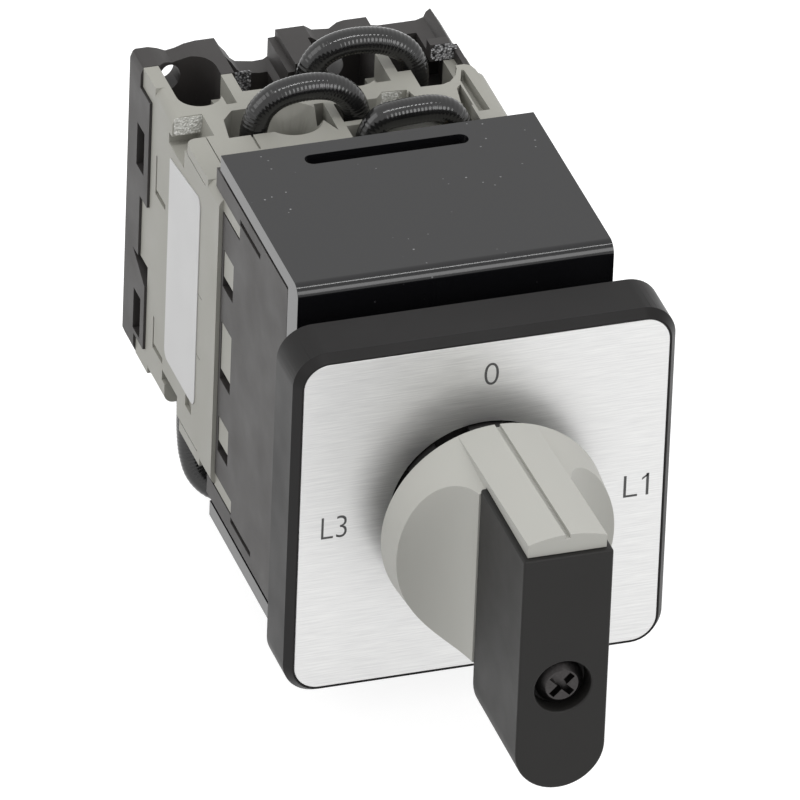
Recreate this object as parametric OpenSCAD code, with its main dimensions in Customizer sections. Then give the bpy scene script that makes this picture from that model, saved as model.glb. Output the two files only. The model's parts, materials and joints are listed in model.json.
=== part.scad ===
/* [Bezel and legend plate] */
// Width and height of the square bezel
bezel_w = 45; // [40:1:60]
// Depth of the bezel in front of the panel
bezel_d = 7.2; // [5.5:0.1:12]
// Corner radius of the bezel
bezel_corner_r = 4; // [3:0.5:8]
// Width of the chamfer round the bezel's front
bezel_chamfer_w = 0.75; // [0.3:0.05:1.5]
// Depth of the chamfer round the bezel's front
bezel_chamfer_d = 1.1; // [0.5:0.1:2.5]
// Width of the flat lip that frames the plate
bezel_lip_w = 0.2; // [0.1:0.05:1]
// Thickness of the legend plate
plate_t = 1; // [0.5:0.1:1.5]

/* [Panel fixing] */
// Space for the panel between bezel and cover
panel_gap = 4.7; // [3:0.1:8]
// Diameter of the spigot that fills the panel's hole
spigot_d = 22; // [21:0.1:23]
// Outer diameter of the threaded neck
neck_d = 18.4; // [17:0.1:19.4]
// Bore of the neck
neck_bore_d = 14.6; // [13.8:0.1:15.6]
// Thickness of the castellated ring nut's wall
nut_wall = 1.6; // [1:0.1:1.7]
// How far the ring nut stands in front of the plate
nut_proud = 1.6; // [0.5:0.1:2.4]
// Number of lugs round the ring nut
nut_lugs = 8; // [6:1:12]
// Depth of the gaps between the lugs
nut_gap_d = 2; // [1:0.1:3]

/* [Front cover] */
// Width of the cover
cover_w = 37.3; // [35:0.1:40]
// How far the cover stands out above and below the stages
cover_rise = 4.9; // [4:0.1:7]
// Length of the cover along the shaft
cover_len = 29.3; // [24:0.1:31]
// Thickness of the cover's front wall
cover_front_t = 3.6; // [2:0.1:5]
// Thickness of the cover's top and bottom flanges
cover_wall = 1.95; // [1.2:0.05:2.5]
// Radius of the cover's front edges
cover_edge_r = 1.5; // [0.5:0.1:2.5]
// Length of the slot in the top flange
slot_len = 19.4; // [10:0.1:26]
// Width of the slot in the top flange
slot_w = 2; // [1:0.1:2.6]
// Distance of the slot's middle from the rear edge
slot_inset = 3.4; // [2.6:0.1:6]

/* [Front housing] */
// Length of the closed block that holds the detent
housing_block_len = 14.4; // [13:0.1:18]
// Length of the side panels behind the block
side_panel_len = 9.7; // [8:0.1:12]
// How far the top and bottom rails pass the side panels
rail_extra = 2.8; // [1:0.1:4]
// Thickness of the side panels
side_panel_t = 1.5; // [1:0.1:2]
// Thickness of the block's front wall
housing_wall_t = 2.5; // [1.5:0.1:3.5]
// Length of the latch windows along the shaft
window_w = 3.8; // [2.5:0.1:4.6]
// Length of the notches in the side panels' corners
notch_len = 6.3; // [5.6:0.1:7.5]
// Height of the notches in the side panels' corners
notch_h = 1.75; // [1:0.05:2.2]

/* [Contact stages] */
// Width of the stages
body_w = 38.2; // [37:0.1:41]
// Height of the stages
body_h = 38.7; // [38:0.1:42]
// Corner radius of the stages' section
body_corner_r = 1.2; // [0.4:0.1:2]
// Length of the first stage
stage_1_len = 15.1; // [14:0.1:18]
// Length of the second stage
stage_2_len = 20.4; // [19:0.1:24]
// Length of the rear housing
rear_len = 8; // [7:0.1:10]
// Thickness of the walls between the chambers
web_t = 1.4; // [1:0.1:2]
// Length of the fork lugs at the seams
lug_len = 7.9; // [6:0.1:9]
// Depth of the terminal pockets below the top
pocket_d = 7.15; // [6:0.05:8]
// Floor between the terminal pockets and the tie screws
tie_floor = 1.025; // [0.8:0.025:1.5]
// Diameter of the screwdriver funnels
funnel_d = 7.2; // [5:0.1:7.6]
// Diameter of the screw wells in the rear edge
well_d = 5.3; // [4.4:0.1:5.6]
// Diameter of the hole through the rear plate behind each well
access_d = 3.5; // [2:0.1:3.6]
// Thickness of the rear plate
rear_plate_t = 2.7; // [2:0.1:4]

/* [Shaft and cams] */
// Size of the shaft's square across flats
shaft_af = 5.6; // [5:0.05:5.65]
// Diameter of the shaft's round journals
journal_d = 8; // [8:0.05:8.4]
// Diameter of the cams over their lobes
cam_d = 14.8; // [13:0.1:15.4]
// Diameter of the cams where a contact closes
cam_low_d = 11.4; // [10:0.1:12.4]
// Thickness of a cam
cam_t = 5; // [4:0.1:6]
// Diameter of the index wheel over its lobes
index_d = 17; // [14:0.1:18]
// Thickness of the index wheel
index_t = 6; // [4:0.1:7]
// Diameter of the detent rollers
roller_d = 4; // [3:0.1:4.6]

/* [Contacts] */
// Width of the plungers across the shaft
plunger_w = 4; // [3:0.1:4.4]
// Thickness of the plungers along the shaft
plunger_t = 3.6; // [3:0.1:4]
// Height of a moving contact bridge
bridge_h = 13; // [11:0.1:14]
// Thickness of the contact strips
strip_t = 0.8; // [0.5:0.05:1]
// Width of the contact strips along the shaft
strip_w = 3.6; // [2.6:0.1:4]
// Wire diameter of the springs
spring_wire_d = 0.4; // [0.3:0.02:0.5]
// Mean diameter of the springs
spring_mean_d = 3; // [2.4:0.05:3.2]
// Turns in each spring
spring_turns = 4; // [3:1:6]

/* [Dial and grip] */
// Gap between the plate and the dial's rear edge
dial_gap = 4; // [3:0.1:6]
// Diameter of the dial's rear edge
dial_d = 26.4; // [24:0.1:30]
// Diameter of the dial's front edge
dial_front_d = 24.8; // [22:0.1:28]
// Length of the dial's skirt
dial_len = 10.3; // [9:0.1:14]
// Depth of the hollow in the dial's rear
dial_recess_d = 2.8; // [1:0.1:3]
// Radius of the hollows that run up to the grip
cove_r = 7.2; // [6:0.1:8]
// Width of the pointer bar
bar_w = 9.2; // [7:0.1:10]
// Radius of the pointer bar's top at its front end
bar_front_r = 14.4; // [13.6:0.1:16]
// How far the bar's front lies behind the grip's front
bar_setback = 0.7; // [0.3:0.1:1.5]
// Thickness of the pointer bar where it lies on the grip
bar_t = 2.4; // [1.6:0.1:3]
// Width of the groove along the pointer bar
bar_groove_w = 0.6; // [0.3:0.05:1]
// Depth of the groove along the pointer bar
bar_groove_d = 0.5; // [0.2:0.05:1]
// Width of the grip
grip_w = 10.5; // [9:0.1:12]
// Length of the grip in front of the dial
grip_len = 15.6; // [12:0.1:20]
// How far the grip's lower end reaches below the shaft axis
grip_low = 18.9; // [15:0.1:24]
// Thickness of the grip's side walls
grip_wall = 1.8; // [1.2:0.1:2.2]
// Thickness of the grip's front wall
grip_front_t = 3; // [2.4:0.1:4]
// Distance of the grip's screw below the shaft axis
grip_screw_z = 5.4; // [3:0.1:9]
// Diameter of the grip's counterbore
grip_counterbore_d = 6.6; // [6:0.1:7.4]

/* [Screws] */
// Shank diameter of the tie screws and the grip's screw
screw_d = 3; // [2.5:0.1:3.4]
// Head diameter of the tie screws and the grip's screw
screw_head_d = 5.5; // [4.5:0.1:5.8]
// Head height of the tie screws and the grip's screw
screw_head_h = 1.8; // [1.2:0.1:2]
// Shank diameter of the terminal screws
terminal_screw_d = 2.5; // [2:0.1:3]
// Head diameter of the terminal screws
terminal_head_d = 4; // [3.4:0.1:4.2]
// Head height of the terminal screws
terminal_head_h = 1.2; // [0.8:0.1:1.6]

/* [Jumpers and label] */
// Outer diameter of the jumper wires
wire_d = 3.2; // [2:0.1:3.2]
// Thickness of the side label
label_t = 0.12; // [0.08:0.02:0.3]
// Height of the side label
label_h = 28; // [20:0.5:30]
// Length of the side label along the shaft
label_len = 11.6; // [8:0.1:13]

/* [Hidden] */
$fn = 48;

// Clearances: a shaft in its bearing, parts that seat, parts that pass each other
gap_fit = 0.05;
gap_seat = 0.1;
gap_free = 0.4;
// One overrun for every cut
over = 1;

// Places along the shaft, from the panel's front face to the rear
plate_y = -bezel_d;
cover_y = panel_gap;
housing_y = cover_y + cover_front_t + gap_seat;
stage_1_y = housing_y + housing_block_len;
side_panel_end = stage_1_y + side_panel_len;
stage_2_y = stage_1_y + stage_1_len;
rear_y = stage_2_y + stage_2_len;
back_y = rear_y + rear_len;
cover_end = cover_y + cover_len;

nut_d = neck_d + 2 * nut_wall;
plate_bore_d = nut_d + 4 * gap_seat;
plate_w = bezel_w - 2 * (bezel_chamfer_w + bezel_lip_w + gap_fit);
plate_corner_r = bezel_corner_r - bezel_chamfer_w - bezel_lip_w - gap_fit;
housing_w = cover_w;
cover_h = body_h + 2 * cover_rise;
housing_h = cover_h - 2 * cover_wall - 2 * gap_free;
deck_z = body_h / 2;
side_x = body_w / 2;
// The right side of the stages is flush with the cover
right_x = housing_w / 2;
side_faces = [[1, side_x], [0, right_x]];
inner_x = housing_w / 2 - side_panel_t - gap_seat;
pocket_z = deck_z - pocket_d;
journal_r = journal_d / 2;
bearing_r = journal_r + gap_fit;
cam_r = cam_d / 2;
chamber_r = cam_r + 2 * gap_free;
index_r = index_d / 2;

// The contact rows: one in the first stage, two in the second
row_shares = [[stage_1_y, stage_1_len, 0.45], [stage_2_y, stage_2_len, 0.426], [stage_2_y, stage_2_len, 0.8]];
rows = [for (r = row_shares) r[0] + r[1] * r[2]];
index_y = stage_1_y - web_t - index_t / 2;

// The contact system, outwards from the shaft
plunger_x = cam_r + gap_free;
fixed_x = chamber_r + 3 * web_t / 2;
bridge_x = fixed_x + strip_t + gap_fit;
spring_x = bridge_x + strip_t + gap_fit;
contact_end = inner_x - web_t;
spring_len = contact_end - spring_x - gap_fit;
terminal_x = fixed_x + strip_t / 2;
foot_w = 4;
strip_top = pocket_z + gap_fit + strip_t;

// Tie screws pass the corners of the stages, outside the contacts
tie_x = inner_x - screw_d / 2 - web_t;
tie_z = pocket_z - tie_floor - screw_d / 2;
tie_signs = [-1, 1];

// Extrudes an outline of width and height along the shaft
module slab(y, len) {
    translate([0, y + len, 0])
        rotate([90, 0, 0])
            linear_extrude(len) children();
}

// Extrudes an outline of length and height across the shaft
module side_slab(x, t) {
    translate([x, 0, 0])
        rotate([90, 0, 90])
            linear_extrude(t) children();
}

// A round bar along the shaft
module rod(r, y, len, x = 0, z = 0) {
    translate([x, y + len, z])
        rotate([90, 0, 0])
            cylinder(r = r, h = len);
}

// A block given by its lowest and highest corners
module block(low, high) {
    translate(low) cube(high - low);
}

module round_rect(w, h, r) {
    square([w - 2 * r, h], center = true);
    square([w, h - 2 * r], center = true);
    for (x = [-1, 1], z = [-1, 1])
        translate([x * (w / 2 - r), z * (h / 2 - r)]) circle(r);
}

module mirrored_x() {
    children();
    mirror([1, 0, 0]) children();
}

module mirrored_z() {
    children();
    mirror([0, 0, 1]) children();
}

// A sector of a disc, for lugs and cam lobes
function sector_points(r, from, to) = concat(
    [[0, 0]],
    [for (i = [0:4]) r * [cos(from + (to - from) * i / 4), sin(from + (to - from) * i / 4)]]
);

module sector(r, from, to) {
    polygon(sector_points(r, from, to));
}

module bezel() {
    color("#232324")
    difference() {
        union() {
            slab(plate_y + bezel_chamfer_d, bezel_d - bezel_chamfer_d)
                round_rect(bezel_w, bezel_w, bezel_corner_r);
            hull() {
                slab(plate_y + bezel_chamfer_d, gap_fit)
                    round_rect(bezel_w, bezel_w, bezel_corner_r, $fn = 32);
                slab(plate_y, gap_fit)
                    round_rect(
                        bezel_w - 2 * bezel_chamfer_w, bezel_w - 2 * bezel_chamfer_w,
                        bezel_corner_r - bezel_chamfer_w, $fn = 32
                    );
            }
        }
        slab(plate_y - over, plate_t + over)
            round_rect(plate_w + 2 * gap_fit, plate_w + 2 * gap_fit, plate_corner_r + gap_fit);
        rod(nut_d / 2 + gap_seat, plate_y - over, bezel_d / 2 + over);
        rod(neck_d / 2 + gap_seat, plate_y - over, bezel_d + 2 * over);
        // The spigot's end is held in the back
        rod(spigot_d / 2 + gap_seat, -plate_t, plate_t + over);
        // The hollow back leaves a rim and the boss that the nut pulls on
        difference() {
            slab(-bezel_d / 4, bezel_d / 4 + over)
                round_rect(bezel_w - bezel_corner_r, bezel_w - bezel_corner_r, bezel_corner_r / 2);
            rod(spigot_d / 2 + bezel_corner_r / 2, -bezel_d, 2 * bezel_d);
            for (a = [0, 90])
                rotate([0, a, 0])
                    block([-bezel_w, -bezel_d, -plate_t / 2], [bezel_w, 2 * over, plate_t / 2]);
        }
    }
}

module legend_plate() {
    color("#d5d5d4")
    difference() {
        slab(plate_y, plate_t - gap_fit)
            round_rect(plate_w, plate_w, plate_corner_r);
        rod(plate_bore_d / 2, plate_y - over, plate_t + 2 * over);
    }
}

// The nut's castellations take a face spanner
nut_gap_shares = [0.25, 0.75];

module ring_nut() {
    nut_y = plate_y - nut_proud;
    nut_len = nut_proud + bezel_d / 2 - gap_fit;
    pitch = 360 / nut_lugs;
    color("#1c1c1d")
    difference() {
        rod(nut_d / 2, nut_y, nut_len);
        rod(neck_d / 2 + gap_fit, nut_y - over, nut_len + 2 * over);
        slab(nut_y - over, nut_gap_d + over)
            for (i = [0:nut_lugs - 1])
                sector(nut_d, (i + nut_gap_shares[0]) * pitch, (i + nut_gap_shares[1]) * pitch);
    }
}

// Places of the latch windows, as shares of the stages' half height
window_shares = [[0.42, 0.672], [-0.222, 0.176], [-0.724, -0.481]];
window_y = side_panel_end - window_w - web_t / 2;
// The side panels are lower behind the notch that shows the stage
notch_y = side_panel_end - notch_len;
notch_z = deck_z - notch_h;

module front_housing() {
    color("#3a3938")
    difference() {
        union() {
            slab(housing_y, stage_1_y - housing_y + side_panel_len + rail_extra)
                square([housing_w, housing_h], center = true);
            rod(spigot_d / 2, gap_seat - plate_t, housing_y + plate_t);
            rod(neck_d / 2, plate_y - gap_free, bezel_d + housing_y);
        }
        // Neck bore, shaft bearing and detent chamber
        rod(neck_bore_d / 2, plate_y - over, bezel_d + over + housing_y - web_t);
        rod(bearing_r, plate_y, 2 * housing_y + bezel_d);
        rod(index_r + 2 * gap_free, housing_y + housing_wall_t, housing_block_len);
        detent_slots();
        // The open rear half takes the first stage between panels and rails
        slab(stage_1_y, side_panel_len + rail_extra + over)
            square([housing_w - 2 * side_panel_t, body_h + 2 * gap_seat], center = true);
        slab(side_panel_end, rail_extra + over)
            square([housing_w + 2 * over, body_h + 2 * gap_seat], center = true);
        mirrored_z()
            block(
                [-housing_w, notch_y, notch_z],
                [housing_w, side_panel_end + over, deck_z + gap_seat]
            );
        for (w = window_shares)
            block(
                [-housing_w, window_y, w[0] * deck_z],
                [housing_w, window_y + window_w, w[1] * deck_z]
            );
        mirrored_x()
            mirrored_z()
                block(
                    [housing_w / 2 - web_t / 4, stage_1_y - web_t * 3, deck_z + web_t / 4],
                    [housing_w, notch_y, deck_z + web_t * 3 / 4]
                );
        for (s = tie_signs)
            rod(screw_d / 2 + gap_fit, stage_1_y - 2 * screw_d, 3 * screw_d, s * tie_x, s * tie_z);
    }
}

// Two slots for the rollers and springs, left and right of the index wheel
module detent_slots() {
    mirrored_x()
        block(
            [0, index_y - index_t / 2 - gap_seat, -roller_d / 2 - gap_seat],
            [contact_end, stage_1_y + over, roller_d / 2 + gap_seat]
        );
}

module front_cover() {
    corner = cover_edge_r;
    inner_h = cover_h - 2 * cover_wall;
    color("#2b2b2d")
    difference() {
        side_slab(-cover_w / 2, cover_w)
            difference() {
                translate([cover_y + cover_len, 0])
                    round_rect(2 * cover_len, cover_h, corner);
                translate([cover_end, -cover_h])
                    square([2 * cover_len, 2 * cover_h]);
                translate([cover_y + cover_front_t, -inner_h / 2])
                    square([2 * cover_len, inner_h]);
            }
        rod(spigot_d / 2 + gap_seat, cover_y - over, cover_front_t + 2 * over);
        translate([0, cover_end - slot_inset, 0])
            linear_extrude(cover_h)
                round_rect(slot_len, slot_w, slot_w / 2 - gap_fit);
    }
}

// The deck outline places are shares of half the width and of the stage's length
function deck(p) = [p[0] * side_x, stage_2_y + p[1] * stage_2_len];

// Cuts one deck outline down to a share of the pocket depth
module deck_cut(points, depth_share) {
    translate([0, 0, deck_z - depth_share * pocket_d])
        linear_extrude(pocket_d + over)
            polygon([for (p = points) deck(p)]);
}

module deck_box(x0, x1, y0, y1, depth_share) {
    deck_cut([[x0, y0], [x1, y0], [x1, y1], [x0, y1]], depth_share);
}

left_pocket_shares = [[-0.741, 0.343], [-0.712, 0.534], [-0.634, 0.618], [-0.45, 0.618], [-0.45, 0.343]];
right_pocket_shares = [[0.55, 0.1], [0.78, 0.1], [0.78, 0.363], [0.55, 0.363]];
valley_shares = [[-0.506, 0.8], [0.06, 0.79], [0.06, 1.2], [-0.506, 1.2]];
// The rear right well: straight on its left, round on its right
rear_right_shares = [
    [0.547, 0.78], [0.547, 0.593], [0.686, 0.588], [0.738, 0.608], [0.79, 0.662], [0.822, 0.73],
    [0.832, 0.8], [0.832, 1.2], [0.466, 1.2], [0.466, 0.78]
];
// The right rail is low and round at its end, where the rear housing's wing begins
rail_end_shares = [
    [0.8, 0.765], [0.88, 0.765], [0.915, 0.745], [0.93, 0.7], [0.935, 0.66], [1.2, 0.66], [1.2, 1.2], [0.8, 1.2]
];
rail_end_depth_share = 0.31;
// Shallow recesses and their depths
recess_shares = [
    [[[0.238, 0.525], [0.304, 0.598], [0.455, 0.585], [0.43, 0.36], [0.238, 0.36]], 0.3],
    [[[0.463, 0.57], [0.41, 0.43], [0.5, 0.43]], 0.35],
    [[[0.753, 0.53], [0.787, 0.564], [0.79, 0.334], [0.725, 0.368]], 0.3],
    [[[0.801, 0.265], [0.872, 0.265], [0.859, 0.706], [0.843, 0.71], [0.801, 0.603]], 0.2],
    [[[-0.079, 0.27], [-0.076, 0.57], [-0.136, 0.57], [-0.152, 0.44]], 0.5]
];
// Boxes: left, right, front, rear and depth
box_shares = [
    [-0.02, 0.26, 0.345, 0.54, 1],
    [-0.02, 0.199, 0.11, 0.3, 1],
    [-0.132, -0.096, 0.48, 0.57, 1],
    [-0.64, -0.575, 0.69, 1.2, 0.45],
    [0.30, 0.397, 0.7, 1.2, 0.45],
    [-0.605, -0.59, 0.19, 0.345, 0.05],
    [-1.2, -0.868, -0.2, 0.42, 0.2],
    [-1.2, -0.817, 0.39, 0.627, 0.55]
];
well_shares = [[-0.77, 0.833], [0.2, 0.82]];
funnel_share = [-0.309, 0.451];
// The recess below the grit-faced pad: left, right, front, rear, low and high
undercut_shares = [-1.2, -0.817, 0.6, 0.68, 0.797, 0.868];

// Side seams: one stage's tongue runs into the next stage's side
tongue_t = web_t;
tongue_z_shares = [-0.284, 0.13];

module tongue(y, len, gap) {
    for (s = side_faces)
        mirror([s[0], 0, 0])
            block(
                [s[1] - tongue_t - gap, y - over, tongue_z_shares[0] * deck_z - gap],
                [s[1] + (gap > 0 ? over : 0), y + len + gap, tongue_z_shares[1] * deck_z + gap]
            );
}

// The stages' outline: its left side stands proud of the cover
module stage_outline() {
    translate([(right_x - side_x) / 2, 0])
        round_rect(side_x + right_x, body_h, body_corner_r);
}

// The corner lug of the first stage lies in the second stage's channel, with a round end
lug_w_share = 0.126;

module corner_lug() {
    lug_w = lug_w_share * side_x;
    mirrored_z()
        translate([-side_x, stage_2_y - over, deck_z - web_t + gap_seat])
            linear_extrude(web_t - gap_seat) {
                square([lug_w, lug_len + over - lug_w / 2]);
                translate([lug_w / 2, 0])
                    square([lug_w / 2, lug_len + over]);
                translate([lug_w / 2, lug_len + over - lug_w / 2])
                    circle(lug_w / 2);
            }
}

// What every stage has inside: the cam chamber, contact chambers and slots
module chamber(y, end_y, row_list) {
    rod(chamber_r, y - over, end_y - y - web_t + over);
    rod(bearing_r + gap_free, y - over, end_y - y + 2 * over);
    mirrored_x() {
        block(
            [fixed_x, y - over, -bridge_h / 2 - gap_free],
            [contact_end, end_y - web_t, bridge_h / 2 + gap_free]
        );
        for (r = row_list) {
            block(
                [0, r - plunger_t / 2 - gap_seat, -plunger_w / 2 - gap_seat],
                [fixed_x + over, r + plunger_t / 2 + gap_seat, plunger_w / 2 + gap_seat]
            );
            mirrored_z() {
                block(
                    [fixed_x - gap_fit, r - strip_w / 2 - gap_fit, 0],
                    [fixed_x + strip_t + gap_fit, r + strip_w / 2 + gap_fit, pocket_z + gap_fit]
                );
                block(
                    [terminal_x - foot_w / 2, r - strip_w / 2 - gap_fit, pocket_z],
                    [terminal_x + foot_w / 2, r + strip_w / 2 + gap_fit, strip_top + gap_fit]
                );
            }
        }
    }
}

module tie_holes(y, len) {
    for (s = tie_signs)
        rod(screw_d / 2 + gap_seat, y - over, len + 2 * over, s * tie_x, s * tie_z);
}

module stage_1_housing() {
    wide_y = side_panel_end + gap_seat;
    color("#adaba2")
    difference() {
        union() {
            slab(stage_1_y + gap_seat, wide_y - stage_1_y)
                square([2 * inner_x, body_h], center = true);
            slab(wide_y, stage_2_y - wide_y)
                stage_outline();
            // Latches that snap into the housing's windows
            for (w = window_shares)
                block(
                    [-housing_w / 2 + gap_seat, window_y + gap_seat, w[0] * deck_z + web_t],
                    [housing_w / 2 - gap_seat, window_y + window_w - gap_seat, w[1] * deck_z - gap_seat]
                );
            // The corners that show in the side panels' notches
            mirrored_z()
                block(
                    [-housing_w / 2 + gap_seat, notch_y + gap_seat, notch_z + gap_seat],
                    [housing_w / 2 - gap_seat, wide_y + gap_seat, deck_z]
                );
            tongue(stage_2_y, 2 * web_t, 0);
            corner_lug();
        }
        chamber(stage_1_y, stage_2_y, [rows[0]]);
        tie_holes(stage_1_y, stage_1_len);
        // Terminal pockets, closed by the cover's rails
        mirrored_z()
            mirrored_x()
                block(
                    [terminal_x - foot_w / 2, rows[0] - foot_w / 2, pocket_z],
                    [terminal_x + foot_w / 2, rows[0] + foot_w / 2, deck_z + over]
                );
    }
}

module stage_2_housing() {
    color("#a9a79e")
    difference() {
        union() {
            slab(stage_2_y, stage_2_len)
                stage_outline();
            tongue(rear_y, 2 * web_t, 0);
            // The edge rail that runs on into the rear housing
            mirrored_z()
                block(
                    [-side_x, rear_y - over, deck_z - rail_drop],
                    [-side_x + rail_w, rear_y + rail_tail, deck_z]
                );
        }
        chamber(stage_2_y, rear_y, [rows[1], rows[2]]);
        tie_holes(stage_2_y, stage_2_len);
        tongue(stage_2_y, 2 * web_t, gap_seat);
        mirrored_z() {
            u = undercut_shares;
            block(
                [u[0] * side_x, deck([0, u[2]])[1], u[4] * deck_z],
                [u[1] * side_x, deck([0, u[3]])[1], u[5] * deck_z]
            );
            deck_cut(left_pocket_shares, 1);
            deck_cut(right_pocket_shares, 1);
            deck_cut(valley_shares, 1);
            deck_cut(rear_right_shares, 1);
            deck_cut(rail_end_shares, rail_end_depth_share);
            for (r = recess_shares)
                deck_cut(r[0], r[1]);
            for (b = box_shares)
                deck_box(b[0], b[1], b[2], b[3], b[4]);
            for (w = well_shares) {
                place = deck(w);
                translate([place[0], place[1], pocket_z]) {
                    cylinder(d = well_d, h = pocket_d + over);
                    translate([-well_d / 2, 0, 0])
                        cube([well_d, stage_2_len, pocket_d + over]);
                }
            }
            funnel_place = deck(funnel_share);
            translate([funnel_place[0], funnel_place[1], pocket_z]) {
                cylinder(d = terminal_head_d + 2 * gap_seat, h = pocket_d + over);
                translate([0, 0, pocket_d / 2])
                    cylinder(
                        d1 = terminal_head_d + 2 * gap_seat, d2 = funnel_d, h = pocket_d / 2 + gap_fit
                    );
            }
        }
        for (s = screw_shares)
            terminal_screw_place(s)
                cylinder(r = terminal_screw_d / 2 + gap_fit, h = 2 * terminal_depth, center = true);
        // Moulded L-grooves and the nick below the label
        side_grooves();
    }
}

// Terminal screws: left or right, along the stage, top or bottom
screw_shares = [[-0.309, 0.451, 1], [-0.79, 0.86, 1], [0.2, 0.82, 1], [-0.309, 0.451, -1], [0.2, 0.82, -1]];
terminal_depth = 2.2;

module terminal_screw_place(s) {
    place = deck(s);
    translate([place[0], place[1], s[2] * pocket_z])
        rotate([s[2] > 0 ? 0 : 180, 0, 0])
            children();
}

module terminal_screws() {
    color("#b9b4a6")
    for (s = screw_shares)
        terminal_screw_place(s)
            difference() {
                union() {
                    translate([0, 0, gap_fit - terminal_depth])
                        cylinder(d = terminal_screw_d, h = terminal_depth + gap_fit);
                    translate([0, 0, gap_fit])
                        cylinder(d = terminal_head_d, h = terminal_head_h);
                }
                translate([0, 0, terminal_head_h])
                    cube([terminal_head_d + over, spring_wire_d * 2, terminal_head_h], center = true);
            }
}

// Wire clamps: middle across, front and rear along the stage, top or bottom, on a strip or not
clamp_shares = [
    [-0.56, 0.36, 0.505, 1, 1], [0.094, 0.36, 0.505, 1, 0], [0.094, 0.12, 0.29, 1, 0],
    [0.67, 0.115, 0.305, 1, 0], [-0.052, 0.81, 0.99, 1, 0], [0.6, 0.79, 0.95, 1, 1],
    [0.094, 0.36, 0.505, -1, 0], [-0.787, 0.76, 0.906, -1, 0]
];
clamp_w = 3.8;
clamp_h = 1.9;

module terminal_clamps() {
    color("#c2a253")
    difference() {
        for (c = clamp_shares) {
            low = (c[4] > 0 ? strip_top : pocket_z) + gap_fit;
            mirror([0, 0, c[3] > 0 ? 0 : 1])
                block(
                    [c[0] * side_x - clamp_w / 2, deck([0, c[1]])[1], low],
                    [c[0] * side_x + clamp_w / 2, deck([0, c[2]])[1], strip_top + clamp_h]
                );
        }
        for (r = [route_a, route_b, route_c, route_d])
            for (p = [r[0], r[len(r) - 1]])
                translate([p[0], p[1], p[2] > 0 ? p[2] - gap_seat : p[2] + gap_seat - clamp_h * 2])
                    cylinder(r = wire_d / 2 + gap_seat, h = clamp_h * 2);
    }
}

// The edge rail's own sizes
rail_w = 1.8;
rail_drop = 2.55;
rail_tail = 3.7;

// Side grooves: front, rear, low and high as shares of the stage's length and half height
groove_shares = [
    [0.71, 0.9, 0.3, 0.34], [0.88, 0.9, 0.3, 0.57],
    [0.68, 0.87, -0.76, -0.72], [0.85, 0.87, -0.76, -0.54],
    [0.13, 0.24, -0.76, -0.66]
];

module side_grooves() {
    for (g = groove_shares, s = side_faces)
        mirror([s[0], 0, 0])
            block(
                [s[1] - web_t / 3, stage_2_y + g[0] * stage_2_len, g[2] * deck_z],
                [s[1] + over, stage_2_y + g[1] * stage_2_len, g[3] * deck_z]
            );
}

// The rear housing's notched top edge: places are shares of half width and half height
rear_edge_shares = [
    [-0.906, 1], [-0.852, 0.985], [-0.796, 0.96], [-0.74, 0.97], [-0.683, 0.99], [-0.611, 1],
    [-0.49, 1], [-0.455, 0.94], [-0.42, 0.9], [-0.385, 0.845], [-0.352, 0.818], [-0.242, 0.8],
    [-0.176, 0.803], [-0.148, 0.82], [-0.148, 0.948], [-0.103, 0.95], [-0.103, 1],
    [0.079, 1], [0.128, 0.965], [0.237, 0.955], [0.285, 0.99], [0.33, 1], [0.473, 1], [0.499, 0.94],
    [0.55, 0.93], [0.79, 0.93], [0.838, 0.945], [0.853, 0.98]
];
// Its left edge, proud of the stages, and its cut right corner
rear_left_shares = [[-1.016, 0.95], [-1, 0.99], [-0.985, 1]];
rear_right_corner_shares = [[0.88, 1], [0.948, 0.89]];
// The wing's front band and the strip that it sends along the rail: left, right, reach, low, high
band_shares = [0.75, 0.88, 0.18];
wing_shares = [0.9, 0.935, -0.52, 0.89, 0.955];
// Chambers in front of the rear plate: left, right, floor height
rear_chamber_shares = [
    [-0.482, -0.19, 0.62], [0.06, 0.4, 0.62], [0.5, 0.75, 0.62]
];
// The left one has a round back, and one lies below the wing: left, right, low, high
round_chamber_shares = [-0.927, -0.571, 0.62];
wing_cavity_shares = [0.75, 0.9, 0.62, 0.885];
// The access holes: place over the width and the height
access_shares = [[-0.832, 0.861], [0.2, 0.778]];
// The gap below the tongue: along the length and down
tongue_gap_shares = [0.61, 0.4];
// Side slots: front, rear as shares of the rear length, low and high of the half height
rear_slot_shares = [[0.2, 0.55, 0.31, 0.6], [0.17, 0.5, -0.83, -0.55]];

module rear_outline() {
    half = rear_edge_shares;
    n = len(half);
    top = concat(rear_left_shares, half, rear_right_corner_shares);
    bottom = [for (i = [len(top) - 1:-1:0]) [top[i][0], -top[i][1]]];
    polygon([for (p = concat(top, bottom)) [p[0] * side_x, p[1] * deck_z]]);
}

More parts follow.
